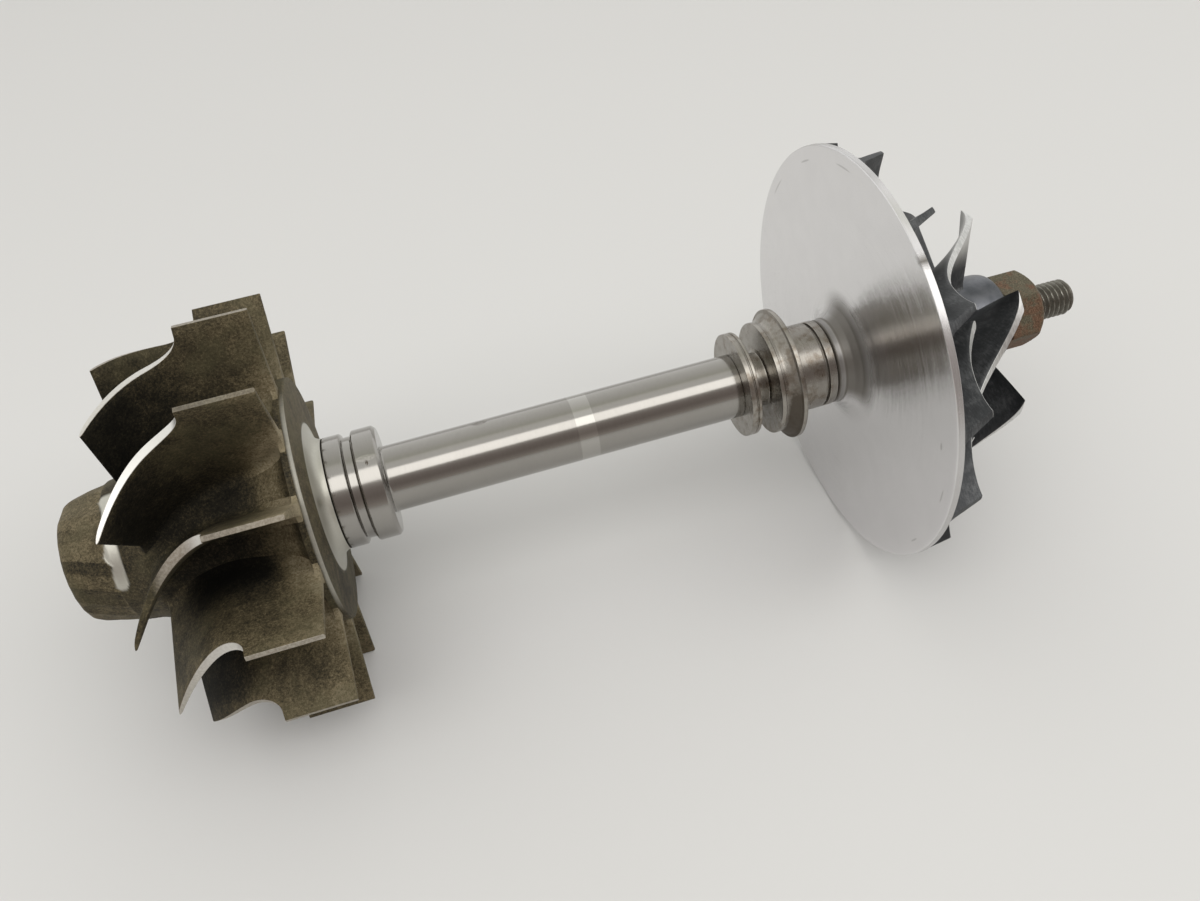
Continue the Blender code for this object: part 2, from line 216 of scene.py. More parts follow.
def piece(name, points, marks, finish, nodes, sharp=32.0):
    """A closed grid surface: points is rows x columns x 3 in rotor millimetres.

    The grid is laid in place, its poles and seams are merged, its faces are turned outwards, and
    it keeps the rotor millimetres and every mark as attributes for its finish.
    """
    rows, columns = points.shape[:2]
    flat = points.reshape(-1, 3)
    mesh = bpy.data.meshes.new(name)
    laid = (flat @ TURN.T + SHIFT) * MM
    mesh.from_pydata(laid.tolist(), [], grid_faces(rows, columns).tolist())
    place = mesh.attributes.new("rotor", "FLOAT_VECTOR", "POINT")
    place.data.foreach_set("vector", flat.astype(np.float32).ravel())
    for label, values in marks.items():
        mark = mesh.attributes.new(label, "FLOAT", "POINT")
        spread = np.broadcast_to(values, (rows, columns))
        mark.data.foreach_set("value", spread.astype(np.float32).ravel())
    work = bmesh.new()
    work.from_mesh(mesh)
    bmesh.ops.remove_doubles(work, verts=work.verts, dist=1e-6)
    bmesh.ops.dissolve_degenerate(work, edges=work.edges, dist=1e-7)
    bmesh.ops.recalc_face_normals(work, faces=work.faces)
    work.to_mesh(mesh)
    work.free()
    mesh.shade_smooth()
    mesh.set_sharp_from_angle(angle=math.radians(sharp))
    item = bpy.data.objects.new(name, mesh)
    item.data.materials.append(finish)
    bpy.context.scene.collection.objects.link(item)
    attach(item, "root")
    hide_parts(*nodes)
    return item


def softened(points, cut, steps=4):
    """Profile with its corners rounded: each gives way to a parabola that starts and ends cut mm
    from it, or less on short sides, with the corner as its handle."""
    points = np.asarray(points, float)
    before, corner, after = points[:-2], points[1:-1], points[2:]
    ends = []
    for other in (before, after):
        span = other - corner
        length = np.linalg.norm(span, axis=1, keepdims=True)
        ends.append(corner + span / length * np.minimum(cut, 0.45 * length))
    t = np.linspace(0.0, 1.0, steps + 1)[None, :, None]
    first, last = ends[0][:, None], ends[1][:, None]
    arcs = (1 - t) ** 2 * first + 2 * t * (1 - t) * corner[:, None] + t ** 2 * last
    return np.concatenate([points[:1], arcs.reshape(-1, 2), points[-1:]])


def spaced(points, step):
    """Profile with points added so that no two are more than step mm apart along it."""
    points = np.asarray(points, float)
    run = run_along(points)
    extra = np.arange(0.0, run[-1], step)
    far = np.abs(extra[:, None] - run[None, :]).min(axis=1) > 0.25 * step
    return at_run(np.sort(np.concatenate([run, extra[far]])), run, points)


def turned(name, profile, steps, finish, nodes, relief=None, mark=None):
    """Surface of revolution: each (x, radius) of the profile carried round the rotor's axis.

    relief(x, radius, angle) gives a depth that is taken off the radius, and mark(x, radius, angle)
    gives the marks.  The mark run is the length along the profile.
    """
    run = run_along(profile)[:, None]
    angle = np.linspace(0.0, 360.0, steps, endpoint=False)[None, :]
    x, radius, angle, run = np.broadcast_arrays(profile[:, :1], profile[:, 1:], angle, run)
    marks = {"run": run}
    if mark:
        marks.update(mark(x, radius, angle))
    if relief:
        radius = np.maximum(radius - relief(x, radius, angle), 0.0)
    return piece(name, polar(x, radius, angle), marks, finish, nodes)


def end_rounding(distance, length):
    """Share of the thickness near an end: a quarter ellipse from 0 at the end to 1 at length."""
    return np.sqrt(np.clip(1.0 - (1.0 - np.clip(distance / length, 0.0, 1.0)) ** 2, 0.0, 1.0))


def blade(name, root, edge, angle_at, thickness_at, fillet, ends, finish, nodes, mark=None):
    """Blade skin as one grid: chord stations by an arch that runs up one side, over the cut edge
    and down the other side.

    A station's line goes from root (x, radius) to edge (x, radius).  Half the thickness is set off
    to each side as an angle, widened near the root by a round fillet of that radius, R minus the
    root of R squared minus (R - height) squared, and drawn in at both ends by a quarter ellipse as
    long as ends says.
    angle_at(x, radius, up) gives the middle surface's angle and the share by which its slant
    widens a cut round the axis.
    """
    along = run_along(0.5 * (root + edge))
    share = (along / along[-1])[:, None]
    length = np.linalg.norm(edge - root, axis=1)[:, None]
    foot = fillet * FOOT_ROWS[None, :]
    sides = np.linspace(0.0, 1.0, 12)[1:][None, :]
    height = np.concatenate([np.broadcast_to(foot, (len(root), foot.shape[1])),
                             foot[:, -1:] + (length - EDGE_BEVEL - foot[:, -1:]) * sides, length], axis=1)
    up = height / length
    x = root[:, :1] + (edge[:, :1] - root[:, :1]) * up
    radius = root[:, 1:] + (edge[:, 1:] - root[:, 1:]) * up
    angle, slant = angle_at(x, radius, up)
    near_root = np.clip(fillet - height, 0.0, fillet)
    half = 0.5 * thickness_at(up) + fillet - np.sqrt(fillet ** 2 - near_root ** 2)
    half[:, -1] -= 0.6 * EDGE_BEVEL
    drawn = end_rounding(along[:, None], ends[0]) * end_rounding(along[-1] - along[:, None], ends[1])
    half_turn = np.degrees(half * drawn * slant / radius)
    across = np.array([0.5, 0.0, -0.5])[None, :]
    top_angle = angle[:, -1:] + half_turn[:, -1:] * across
    arch_angle = np.concatenate([angle + half_turn, top_angle, (angle - half_turn)[:, ::-1]], axis=1)
    last = up.shape[1] - 1
    order = np.concatenate([np.arange(last + 1), [last] * across.size, np.arange(last + 1)[::-1]])
    x, radius, up = x[:, order], radius[:, order], up[:, order]
    cut = np.broadcast_to(order == last, up.shape).astype(float)
    marks = {"cut": cut, "up": up}
    if mark:
        marks.update(mark(x, radius, share, up, cut))
    return piece(name, polar(x, radius, arch_angle), marks, finish, nodes)


# Finishes

class Value:
    """A shader socket: arithmetic on it adds the Math nodes that work it out."""

    def __init__(self, shading, socket):
        self.shading = shading
        self.socket = socket

    def math(self, operation, *values):
        """One Math node on sockets or numbers."""
        settings = {"operation": operation}
        return self.shading.node("ShaderNodeMath", settings, dict(enumerate(values)))

    def __add__(self, other):
        return self.math("ADD", self, other)

    def __sub__(self, other):
        return self.math("SUBTRACT", self, other)

    def __mul__(self, other):
        return self.math("MULTIPLY", self, other)

    def __truediv__(self, other):
        return self.math("DIVIDE", self, other)

    def __pow__(self, other):
        return self.math("POWER", self, other)

    def __rsub__(self, other):
        return self.math("SUBTRACT", other, self)

    def __rtruediv__(self, other):
        return self.math("DIVIDE", other, self)

    __radd__ = __add__
    __rmul__ = __mul__

    def step(self, low, high):
        """0 below low and 1 above high, with a soft S-shaped step."""
        settings = {"interpolation_type": "SMOOTHSTEP"}
        return self.shading.node("ShaderNodeMapRange", settings,
                                 {"Value": self, "From Min": low, "From Max": high})

    def between(self, low, high, soft):
        """1 between low and high, with soft steps just outside them."""
        return self.step(low - soft, low) * (1.0 - self.step(high, high + soft))

    def clipped(self):
        return self.shading.node("ShaderNodeClamp", {}, {"Value": self})


class Shading:
    """Nodes of one node tree."""

    def __init__(self, tree):
        self.tree = tree
        tree.nodes.clear()

    def node(self, kind, settings=None, inputs=None, out=0):
        """Any node: its settings first, then its sockets' values or links; gives one output."""
        made = self.tree.nodes.new(kind)
        for key, value in (settings or {}).items():
            if key == "stops":
                self.set_stops(made.color_ramp.elements, value)
            else:
                setattr(made, key, value)
        for key, value in (inputs or {}).items():
            if isinstance(value, Value):
                self.tree.links.new(value.socket, made.inputs[key])
            else:
                made.inputs[key].default_value = value
        return Value(self, made.outputs[out]) if made.outputs else None

    @staticmethod
    def set_stops(elements, stops):
        elements.remove(elements[-1])
        elements[0].position = stops[0][0]
        elements[0].color = (*stops[0][1], 1.0)
        for place, colour in stops[1:]:
            elements.new(place).color = (*colour, 1.0)

    def vector(self, x, y, z):
        return self.node("ShaderNodeCombineXYZ", {}, {"X": x, "Y": y, "Z": z})

    def parts(self, vector):
        return [self.node("ShaderNodeSeparateXYZ", {}, {0: vector}, out=axis) for axis in "XYZ"]

    def noise(self, vector, scale, detail=3.0, rough=0.55):
        return self.node("ShaderNodeTexNoise", {},
                         {"Vector": vector, "Scale": scale, "Detail": detail, "Roughness": rough})

    def mix(self, share, first, second):
        """Colour between first and second."""
        first, second = ((*c, 1.0) if isinstance(c, tuple) else c for c in (first, second))
        return self.node("ShaderNodeMix", {"data_type": "RGBA"}, {0: share, 6: first, 7: second}, out=2)

    def ramp(self, value, stops):
        return self.node("ShaderNodeValToRGB", {"stops": stops}, {"Fac": value})


class Finish(Shading):
    """One procedural material, drawn from the rotor millimetres and marks its piece carries."""

    def __init__(self, name):
        self.material = bpy.data.materials.new(name)
        self.material.use_nodes = True
        super().__init__(self.material.node_tree)

    def mark(self, name):
        """A mark that the piece carries, as a number from 0 to 1 or as a length."""
        return self.node("ShaderNodeAttribute", {"attribute_name": name}, out="Fac")

    def rotor(self, stretch=(1.0, 1.0, 1.0)):
        """Rotor millimetres of the point, each axis stretched by a factor."""
        place = self.node("ShaderNodeAttribute", {"attribute_name": "rotor"}, out="Vector")
        return self.node("ShaderNodeVectorMath", {"operation": "MULTIPLY"}, {0: place, 1: stretch})

    def polar(self):
        """Station and radius in millimetres, and angle in degrees, from the rotor millimetres."""
        x, y, z = self.parts(self.rotor())
        angle = z.math("ARCTAN2", z, 0.0 - y) * (180.0 / math.pi)
        return x, (y * y + z * z) ** 0.5, angle

    def spot(self, along, around, middle, size):
        """1 inside an ellipse with a soft border, in the units of along and around."""
        first = (along - middle[0]) / size[0]
        second = (around - middle[1]) / size[1]
        return 1.0 - (first * first + second * second).step(0.4, 1.0)

    def done(self, colour, roughness, metallic, height=None, distance=0.02 * MM, **constants):
        """The shader: constants are set on its own sockets, height goes through one Bump node."""
        inputs = {"Base Color": colour, "Roughness": roughness, "Metallic": metallic}
        inputs.update({key.replace("_", " "): value for key, value in constants.items()})
        if height is not None:
            inputs["Normal"] = self.node("ShaderNodeBump", {},
                                         {"Strength": 1.0, "Distance": distance, "Height": height})
        shader = self.node("ShaderNodeBsdfPrincipled", {}, inputs)
        self.node("ShaderNodeOutputMaterial", {}, {"Surface": shader})
        return self.material


def cast_alloy():
    """Dark oxidised casting with a sandy grain; cut edges and ground places are bare metal; where marked,
    soot and painted shade darken it and paler tone and painted light lighten it.
    """
    finish = Finish("cast_alloy")
    place = finish.rotor()
    grain = finish.noise(place, 1.6, 4.0, 0.7)
    specks = finish.noise(place, 4.5, 2.0, 0.6)
    clouds = finish.noise(place, 0.09, 3.0, 0.6)
    patches = finish.noise(place, 0.35, 3.0, 0.6)
    streaks = finish.noise(finish.rotor((0.25, 2.0, 2.0)), 1.0, 3.0)
    cut = finish.mark("cut")
    ground = finish.mark("ground")
    # Pale mark: paler tone, and painted light and shade on the nose flats
    pale = finish.mark("pale")
    # Soot mark: soot, and painted shade on the hub between the blades and low on the blades
    soot = finish.mark("soot")
    tone = grain * 0.80 + specks * 0.50 + clouds * 0.35 + patches * 0.35 + streaks * pale * 0.3 \
        + pale * 0.42 - soot * 0.45 - 0.50
    skin = finish.ramp(tone, [(0.15, (0.005, 0.0045, 0.003)), (0.36, (0.021, 0.018, 0.011)),
                              (0.54, (0.064, 0.052, 0.029)), (0.74, (0.158, 0.128, 0.074)),
                              (1.0, (0.33, 0.28, 0.185))])
    olive = finish.mix(clouds.step(0.45, 0.65) * 0.5, skin, (0.070, 0.064, 0.034))
    skin = finish.mix(soot.step(0.0, 0.4), olive, skin)
    dull = finish.mix(grain.step(0.3, 0.7), (0.29, 0.255, 0.21), (0.46, 0.43, 0.37))
    bright = finish.mix(grain, (0.74, 0.73, 0.70), (0.86, 0.85, 0.82))
    bare = finish.mix(cut.step(0.6, 0.95), dull, bright)
    rings = finish.noise(finish.vector(finish.mark("run"), 0.0, 0.0), 6.0, 2.0, 0.6)
    machined = finish.mix(rings * 0.5 + grain * 0.5, (0.46, 0.45, 0.40), (0.62, 0.61, 0.55))
    colour = finish.mix(cut.step(0.15, 0.45), finish.mix(ground, skin, machined), bare)
    metal = (cut.step(0.15, 0.45) + ground).clipped()
    roughness = 0.60 - metal * 0.24 + specks * 0.12 + soot * 0.25
    height = (grain * 0.7 + specks * 0.3) * (1.0 - metal * 0.85)
    return finish.done(colour, roughness, 0.20 + metal * 0.75, height, 0.10 * MM,
                       Specular_IOR_Level=0.22)


def ground_steel():
    """Ground journal: fine rings, scratches round it, one polished band, a nick and a smudge."""
    finish = Finish("ground_steel")
    x, radius, angle = finish.polar()
    run = finish.mark("run")
    dirt = finish.mark("dirt")
    ring = finish.noise(finish.vector(run, 0.0, 0.0), 7.0, 3.0, 0.7)
    scratch = finish.noise(finish.vector(run * 5.0, angle * 0.05, 0.0), 1.0, 3.0, 0.6)
    cloud = finish.noise(finish.vector(run * 0.10, angle * 0.01, 0.0), 1.0, 2.0)
    specks = finish.noise(finish.rotor(), 2.6, 3.0, 0.6)
    journal = 1.0 - radius.step(JOURNAL_R + 0.2, JOURNAL_R + 0.5)
    band = x.between(*POLISHED_X, 0.25) * journal
    streaks = scratch * 0.5 + cloud * 0.3 + specks * 0.2
    base = finish.mix(streaks, (0.275, 0.265, 0.245), (0.375, 0.362, 0.34))
    base = finish.mix(band, base, (0.405, 0.395, 0.37))
    base = finish.mix(x.step(NUT_X[1] - 3.0, NUT_X[1]) * 0.5, base, (0.19, 0.19, 0.15))
    collar = radius.step(COLLAR_R - 0.4, COLLAR_R - 0.2)
    nick = finish.spot(x, angle, (-3.2, 21.5), (0.42, 3.2)) * collar * specks.step(0.40, 0.5)
    light = finish.spot(x, angle, (-3.2, 26.5), (3.0, 4.0)) * collar * specks.step(0.2, 0.7) * 0.5
    smudge = finish.spot(x, angle, (25.6, 66.0), (2.2, 9.0)) * journal * specks.step(0.42, 0.55)
    dirt_share = (dirt * 1.4 + specks * 0.8 - 0.7).clipped() * dirt.step(0.02, 0.25)
    dark = (nick + smudge * 0.7 + dirt_share).clipped()
    colour = finish.mix(dark, finish.mix(light, base, (0.56, 0.54, 0.50)), (0.07, 0.055, 0.04))
    roughness = 0.10 + scratch * 0.06 + specks * 0.04 + dark * 0.4 + dirt * 0.12 - band * 0.03
    height = ring * 0.6 + scratch * 0.4
    return finish.done(colour, roughness, 1.0 - dark * 0.6, height, 0.004 * MM)


def stained_shaded_steel():
    """Turned collars: darker rings where the tool ran, brown stains, and burnt oil and painted shade where
    marked.
    """
    finish = Finish("stained_shaded_steel")
    angle = finish.polar()[2]
    run = finish.mark("run")
    dirt = finish.mark("dirt")
    ring = finish.noise(finish.vector(run, 0.0, 0.0), 5.0, 3.0, 0.7)
    scratch = finish.noise(finish.vector(run * 3.0, angle * 0.04, 0.0), 1.0, 3.0, 0.6)
    blotch = finish.noise(finish.rotor(), 0.30, 4.0, 0.65)
    specks = finish.noise(finish.rotor(), 1.8, 4.0, 0.65)
    base = finish.mix(ring * 0.5 + scratch * 0.5, (0.22, 0.205, 0.18), (0.42, 0.40, 0.365))
    stained = finish.mix(blotch.step(0.44, 0.66) * 0.6, base, (0.15, 0.115, 0.08))
    # Where marked: burnt oil, and painted shade round the thrust collar's neck
    share = (dirt * 1.5 + specks * 1.1 - 0.80).clipped() * dirt.step(0.02, 0.25)
    colour = finish.mix(share * 0.9, stained, (0.045, 0.034, 0.022))
    roughness = 0.17 + scratch * 0.08 + blotch * 0.10 + share * 0.35
    return finish.done(colour, roughness, 1.0 - share, ring * 0.6 + scratch * 0.4, 0.007 * MM,
                       Specular_IOR_Level=0.25)


def milled_face():
    """Satin aluminium with fine turning rings and faint scratches, rust, grime and painted shade where
    marked; dull and dark between the blades."""
    finish = Finish("milled_face")
    x, radius, angle = finish.polar()
    run = finish.mark("run")
    dirt = finish.mark("dirt")
    ring = finish.noise(finish.vector(run, 0.0, 0.0), 9.0, 2.0, 0.6)
    sweep = finish.noise(finish.vector(radius * 0.15, angle * 0.11, 0.0), 1.0, 3.0)
    blotch = finish.noise(finish.rotor(), 0.12, 3.0, 0.6)
    satin = ring * 0.35 + blotch * 0.40 + sweep * 0.25
    base = finish.mix(satin, (0.68, 0.672, 0.680), (0.84, 0.832, 0.838))
    scratch = 0.0
    for middle, size in (((52.6, 80.0), (0.30, 3.4)), ((52.9, 56.0), (0.28, 4.5)),
                         ((53.0, 104.6), (0.28, 5.0)), ((52.5, -47.0), (0.3, 3.0)),
                         ((52.9, -74.0), (0.3, 2.4)), ((49.5, -32.0), (0.5, 1.4))):
        scratch = finish.spot(radius, angle, middle, size) + scratch
    back = 1.0 - x.step(COMPRESSOR_RIM_X[0] + 0.1, COMPRESSOR_RIM_X[0] + 0.3)
    worn = finish.mix((scratch * 0.45 * back).clipped(), base, (0.30, 0.29, 0.28))
    front = x.step(COMPRESSOR_RIM_X[1] - 0.05, COMPRESSOR_RIM_X[1] + 0.2)
    milled = finish.mix(blotch.step(0.35, 0.65), (0.085, 0.09, 0.10), (0.155, 0.16, 0.175))
    # Where marked: rust, grime and painted shade
    colour = finish.mix(dirt.clipped(), finish.mix(front, worn, milled), (0.13, 0.12, 0.105))
    roughness = 0.11 + sweep * 0.04 + dirt * 0.25 + front * 0.20
    return finish.done(colour, roughness, 1.0 - dirt * 0.5, ring, 0.045 * MM)


def milled_blade():
    """Blade aluminium dulled to dark grey and darkened to near black as painted shade, with mill marks;
    bright on the machined edges, and pale as a painted highlight where marked."""
    finish = Finish("milled_blade")
    place = finish.rotor()
    mill = finish.noise(finish.rotor((1.0, 0.25, 0.25)), 2.6, 3.0)
    clouds = finish.noise(place, 0.14, 3.0, 0.6)
    specks = finish.noise(place, 4.0, 3.0, 0.6)
    cut = finish.mark("cut")
    tone = mill * 0.30 + clouds * 0.55 + specks * 0.25
    # Near-black tones: dulled aluminium darkened further as painted shade
    soot = finish.ramp(tone, [(0.32, (0.020, 0.021, 0.023)), (0.55, (0.052, 0.055, 0.058)),
                              (0.80, (0.17, 0.175, 0.18))])
    # Pale mark: a painted highlight
    soot = finish.mix(finish.mark("pale"), soot, (0.55, 0.55, 0.535))
    bare = finish.mix(mill.step(0.35, 0.65), (0.54, 0.54, 0.53), (0.68, 0.68, 0.67))
    colour = finish.mix(cut, soot, bare)
    roughness = 0.42 - cut * 0.08 + specks * 0.10
    return finish.done(colour, roughness, 0.55 + cut * 0.45, mill, 0.03 * MM)


def rusted():
    """Nut steel under rust: olive brown with reddish patches and a pitted surface."""
    finish = Finish("rusted")
    place = finish.rotor()
    patches = finish.noise(place, 0.22, 4.0, 0.65)
    grain = finish.noise(place, 2.4, 4.0, 0.7)
    angle = finish.polar()[2]
    olive = finish.ramp(grain, [(0.30, (0.045, 0.040, 0.024)), (0.52, (0.115, 0.100, 0.064)),
                                (0.75, (0.22, 0.20, 0.145))])
    red = finish.ramp(grain, [(0.30, (0.06, 0.028, 0.014)), (0.52, (0.15, 0.075, 0.042)),
                              (0.75, (0.28, 0.16, 0.10))])
    share = (patches + (1.0 - angle.step(-30.0, 60.0)) * 0.14).step(0.51, 0.68)
    colour = finish.mix(share * 0.8, olive, red)
    return finish.done(colour, 0.62 + grain * 0.2, 0.25, grain, 0.10 * MM, Specular_IOR_Level=0.4)


# Shaft

def thread_depth(x, radius, angle):
    """V thread: a triangle wave along x, one per pitch, that slides by one pitch in a full turn,
    fading in behind the nut and out at the end."""
    phase = (x / THREAD_PITCH + angle / 360.0) % 1.0
    flank = np.clip(1.3 * np.abs(2.0 * phase - 1.0) - 0.15, 0.0, 1.0)
    start = NUT_X[0] - 1.0
    inside = smooth(start, start + 0.5, x) * smooth(THREAD_END_X - 0.3, THREAD_END_X - 0.9, x)
    return THREAD_DEPTH * flank * inside * (radius > THREAD_FACE_R - 0.2)


def shaft_marks(x, radius, angle):
    """Dark line in the journal's corner, grime in the thread and at its end."""
    corner = np.exp(-np.abs(x - 0.4) / 0.4) * (radius < JOURNAL_R + 1.0)
    threads = smooth(NUT_X[1] - 2.0, NUT_X[1], x) * (0.34 + 0.5 * thread_depth(x, radius, angle))
    worn_end = 0.35 * smooth(THREAD_END_X - 1.6, THREAD_END_X - 0.6, x)
    return {"dirt": np.clip(corner * 0.25 + threads + worn_end, 0.0, 1.0)}


def make_shaft(steel):
    """Threaded stub, journal, welded collar and its ring groove, turned as one profile."""
    end = softened([(THREAD_END_X, 0.0), (THREAD_END_X, THREAD_FACE_R), (THREAD_END_X - 1.2, STUB_R),
                    (NUT_X[0] - 1.5, STUB_R)], 0.35)
    journal = [(NUT_X[0] - 1.6, STUB_R), (JOURNAL_END_X, STUB_R), (JOURNAL_END_X, JOURNAL_R - 0.05),
               (JOURNAL_END_X - 0.05, JOURNAL_R), (0.5, JOURNAL_R), (0.0, JOURNAL_R + 0.4),
               (0.0, COLLAR_R - 0.8), (-0.8, COLLAR_R),
               (GROOVE_X[1] + 0.45, COLLAR_R), (GROOVE_X[1] + 0.1, COLLAR_R - 0.4),
               (GROOVE_X[1] - 0.2, COLLAR_GROOVE_R), (GROOVE_X[0] + 0.2, COLLAR_GROOVE_R),
               (GROOVE_X[0] - 0.1, COLLAR_R - 0.5), (GROOVE_X[0] - 0.5, COLLAR_R),
               (WELD_X + 0.22, COLLAR_R), (WELD_X + 0.08, COLLAR_R - 0.25), (WELD_X + 0.08, 0.0)]
    profile = np.concatenate([spaced(end, 0.12), spaced(softened(journal, 0.16), 2.5)])
    return turned("ground_shaft", profile, SMALL_STEPS, steel, ["shaft"],
                  thread_depth, shaft_marks)


# Turbine

def turbine_hub_curve(x):
    """Hub radius from the exit to the disc: a quarter of an ellipse."""
    reach = TURBINE_DISC_X[0] - TURBINE_EXIT_X
    lean = np.arcsin(np.clip((x - TURBINE_EXIT_X) / reach, 0.0, 1.0))
    return TURBINE_HUB_EXIT_R + (TURBINE_DISC_R - TURBINE_HUB_EXIT_R) * (1.0 - np.cos(lean))


# Flats on the nose: the angle where each starts and how pale it is; the paleness is painted light and shade,
# lighter and darker flats standing in for how each flat catches the light
NOSE_FLATS = np.array([(-6.0, 0.34), (11.0, 0.20), (22.0, 0.34), (71.0, 0.22), (93.0, 0.30), (114.0, 0.15),
                       (133.0, 0.32), (152.0, 0.18), (171.0, 0.28), (190.0, 0.12), (210.0, 0.30),
                       (229.0, 0.16), (247.0, 0.26), (264.0, 0.10), (281.0, 0.24), (297.0, 0.12),
                       (313.0, 0.02), (329.0, 0.20), (343.0, -0.02), (354.0, 0.34)])


def nose_flat(x, angle):
    """Index of the flat at a place, and its angle there; the flats run slightly askew."""
    skewed = angle + 1.1 * (x - NOSE_STEP_X)
    place = (skewed + 6.0) % 360.0 - 6.0
    index = np.searchsorted(NOSE_FLATS[:, 0], place, side="right") - 1
    return np.clip(index, 0, len(NOSE_FLATS) - 2), place


def nose_flats(x, radius, angle):
    """Rough dressing of the nose: flats of uneven width, each a chord below the round, that end
    at the step; and the strip that balance grinding took off behind it."""
    flat, place = nose_flat(x, angle)
    starts = NOSE_FLATS[:, 0]
    middle = 0.5 * (starts[flat] + starts[flat + 1])
    half = np.radians(0.5 * np.minimum(starts[flat + 1] - starts[flat], 26.0))
    turn = np.clip(np.radians(place - middle), -half, half)
    chord = radius * (1.0 - np.cos(half) / np.cos(turn))
    nose = smooth(NOSE_STEP_X + 0.5, NOSE_STEP_X - 0.3, x) * (radius > NOSE_FACE_R - 0.5)
    return nose * (chord + 0.12) + 0.15 * ground_share(x, angle)


def ground_share(x, angle):
    """Where balance grinding bared the metal behind the nose: a comma with a wavy left border."""
    turn = wrapped(angle)
    left = np.interp(turn, [-30.0, -27.0, -18.0, -9.0, -5.0, -1.0, 5.0, 14.0, 34.0, 40.0, 47.0, 51.0],
                     [-63.7, -64.7, -64.4, -63.7, -64.7, -65.1, -64.4, -63.9, -63.7, -64.0, -64.8, -63.4])
    right = np.interp(turn, [-30.0, -25.0, -10.0, 2.0, 40.0], [-62.6, -61.6, -61.3, -61.2, -61.4])
    inside = smooth(-0.2, 0.25, x - left) * smooth(-0.2, 0.25, right - x)
    return inside * smooth(-31.0, -28.0, turn) * smooth(52.0, 49.0, turn)


def hub_marks(x, radius, angle):
    """Bare ground fillet beside the weld, machined rim of the disc, paler face, nose flats made paler and
    darker one by one as painted light and shade, ground strip behind the nose, soot and painted shade on the
    hub between the blades."""
    fillet = smooth(TURBINE_FACE_R + 0.5, TURBINE_FACE_R - 0.1, radius) * (x > TURBINE_FACE_X - 0.4)
    rim = smooth(TURBINE_DISC_R - 0.35, TURBINE_DISC_R - 0.1, radius) * smooth(-17.95, -17.7, x)
    turn = wrapped(angle)
    rim = rim * smooth(-66.0, -40.0, turn) * smooth(62.0, 30.0, turn)
    face = smooth(-17.6, -16.9, x) * (0.20 * smooth(-60.0, 45.0, turn))
    # Each nose flat's paleness from the table: painted light and shade
    nose = NOSE_FLATS[nose_flat(x, angle)[0], 1] * smooth(NOSE_FACE_R - 1.0, NOSE_FACE_R, radius)
    nose = smooth(NOSE_STEP_X + 0.4, NOSE_STEP_X - 0.4, x) * nose
    line = smooth(0.35, 0.1, np.abs(x - NOSE_STEP_X)) * 0.2
    flank = smooth(-34.0, -25.0, x) * smooth(-19.8, -22.5, x)
    # Painted shade on the hub between the blades, laid on together with the soot
    channel = smooth(-22.0, -30.0, x) * smooth(NOSE_STEP_X + 6.0, NOSE_STEP_X + 14.0, x)
    weld = smooth(WELD_X - 0.22, WELD_X - 0.1, x) * (radius < COLLAR_R + 0.2)
    stain = np.exp(-((turn + 4.0) / 6.0) ** 2 - ((radius - 16.6) / 1.6) ** 2) * fillet
    bare = 0.9 * fillet * (1.0 - weld) * (1.0 - 0.7 * stain)
    return {"ground": np.clip(bare + 0.6 * rim + ground_share(x, angle), 0.0, 1.0),
            "cut": np.zeros_like(x), "soot": np.clip(weld + 0.35 * channel, 0.0, 1.0),
            "pale": np.clip(face + nose + line + 0.45 * flank, -0.1, 1.0)}


# A turbine blade's look.  shroud and inlet: how bare these edges are, the shroud's share also a painted
# highlight on the blades that face the camera; fade: what the shroud's shine loses towards the exit; soot
# and root_shade: how dark the exit half is, and how dark the foot's middle is painted as shade; back, foot
# and skin: how much paler the back corner, the foot below it and the whole blade are.
BLADE_LOOK = {"shroud": 0.62, "fade": 0.10, "inlet": 0.36, "soot": 0.20, "root_shade": 0.20,
              "back": 0.20, "foot": 0.36, "skin": 0.0}

# What differs on the blades that face the camera, by number; their higher shroud shares add a painted
# highlight to the bare edges
BLADE_LOOKS = {0: {"shroud": 1.0, "fade": 0.0, "inlet": 0.27, "soot": 0.45, "foot": 0.60},
               1: {"shroud": 0.82, "fade": 0.0, "soot": 0.65},
               9: {"soot": 0.75, "skin": 0.12},
               10: {"shroud": 0.84, "fade": 0.15, "inlet": 0.50, "root_shade": 1.0, "skin": 0.12},
               11: {"shroud": 0.98, "fade": 1.25, "inlet": 0.34, "back": 0.55}}


